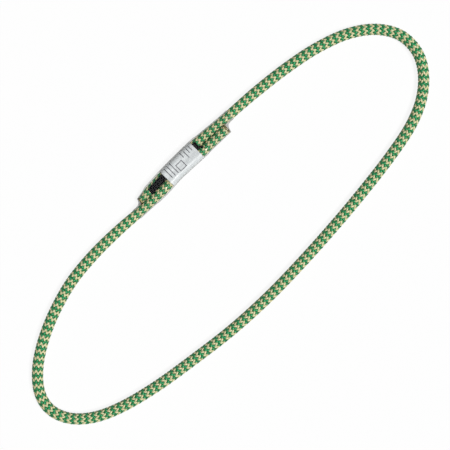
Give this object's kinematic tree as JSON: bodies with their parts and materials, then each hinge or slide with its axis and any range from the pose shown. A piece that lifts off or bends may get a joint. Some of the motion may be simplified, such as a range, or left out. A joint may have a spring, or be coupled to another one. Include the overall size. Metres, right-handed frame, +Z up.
{
  "type": "sewn cord loop",
  "caption": "Closed loop of thin braided nylon cord, its ends lapped side by side, bar-tacked, labelled and held in a clear shrink sleeve; lies flat as a long open oval.",
  "frame": {"origin": "middle of the loop's footprint, on the surface that it lies on", "axes": "+Z up from the surface, +X along the oval's long axis, +Y towards the sewn splice"},
  "size_m": [0.2766, 0.0906, 0.0071],
  "materials": {
    "sheath_yarn": "braided nylon yarn, tan and green in zigzag rings, satin",
    "core_yarn": "twisted white nylon yarn, satin",
    "fused_nylon": "melted nylon, semi-matt",
    "sewing_thread": "bonded polyester thread, black, satin",
    "label_film": "smooth white film",
    "clear_sleeve": "clear heat-shrink tube, glossy"
  },
  "bodies": {
    "root": {"sheath": "sheath_yarn", "core_strand_centre": "core_yarn", "core_strand_1": "core_yarn", "core_strand_2": "core_yarn", "core_strand_3": "core_yarn", "core_strand_4": "core_yarn", "core_strand_5": "core_yarn", "core_strand_6": "core_yarn", "inner_end_seal": "fused_nylon", "outer_end_seal": "fused_nylon", "needle_thread": "sewing_thread", "bobbin_thread": "sewing_thread", "label": "label_film", "shrink_sleeve": "clear_sleeve"}
  },
  "joints": []
}
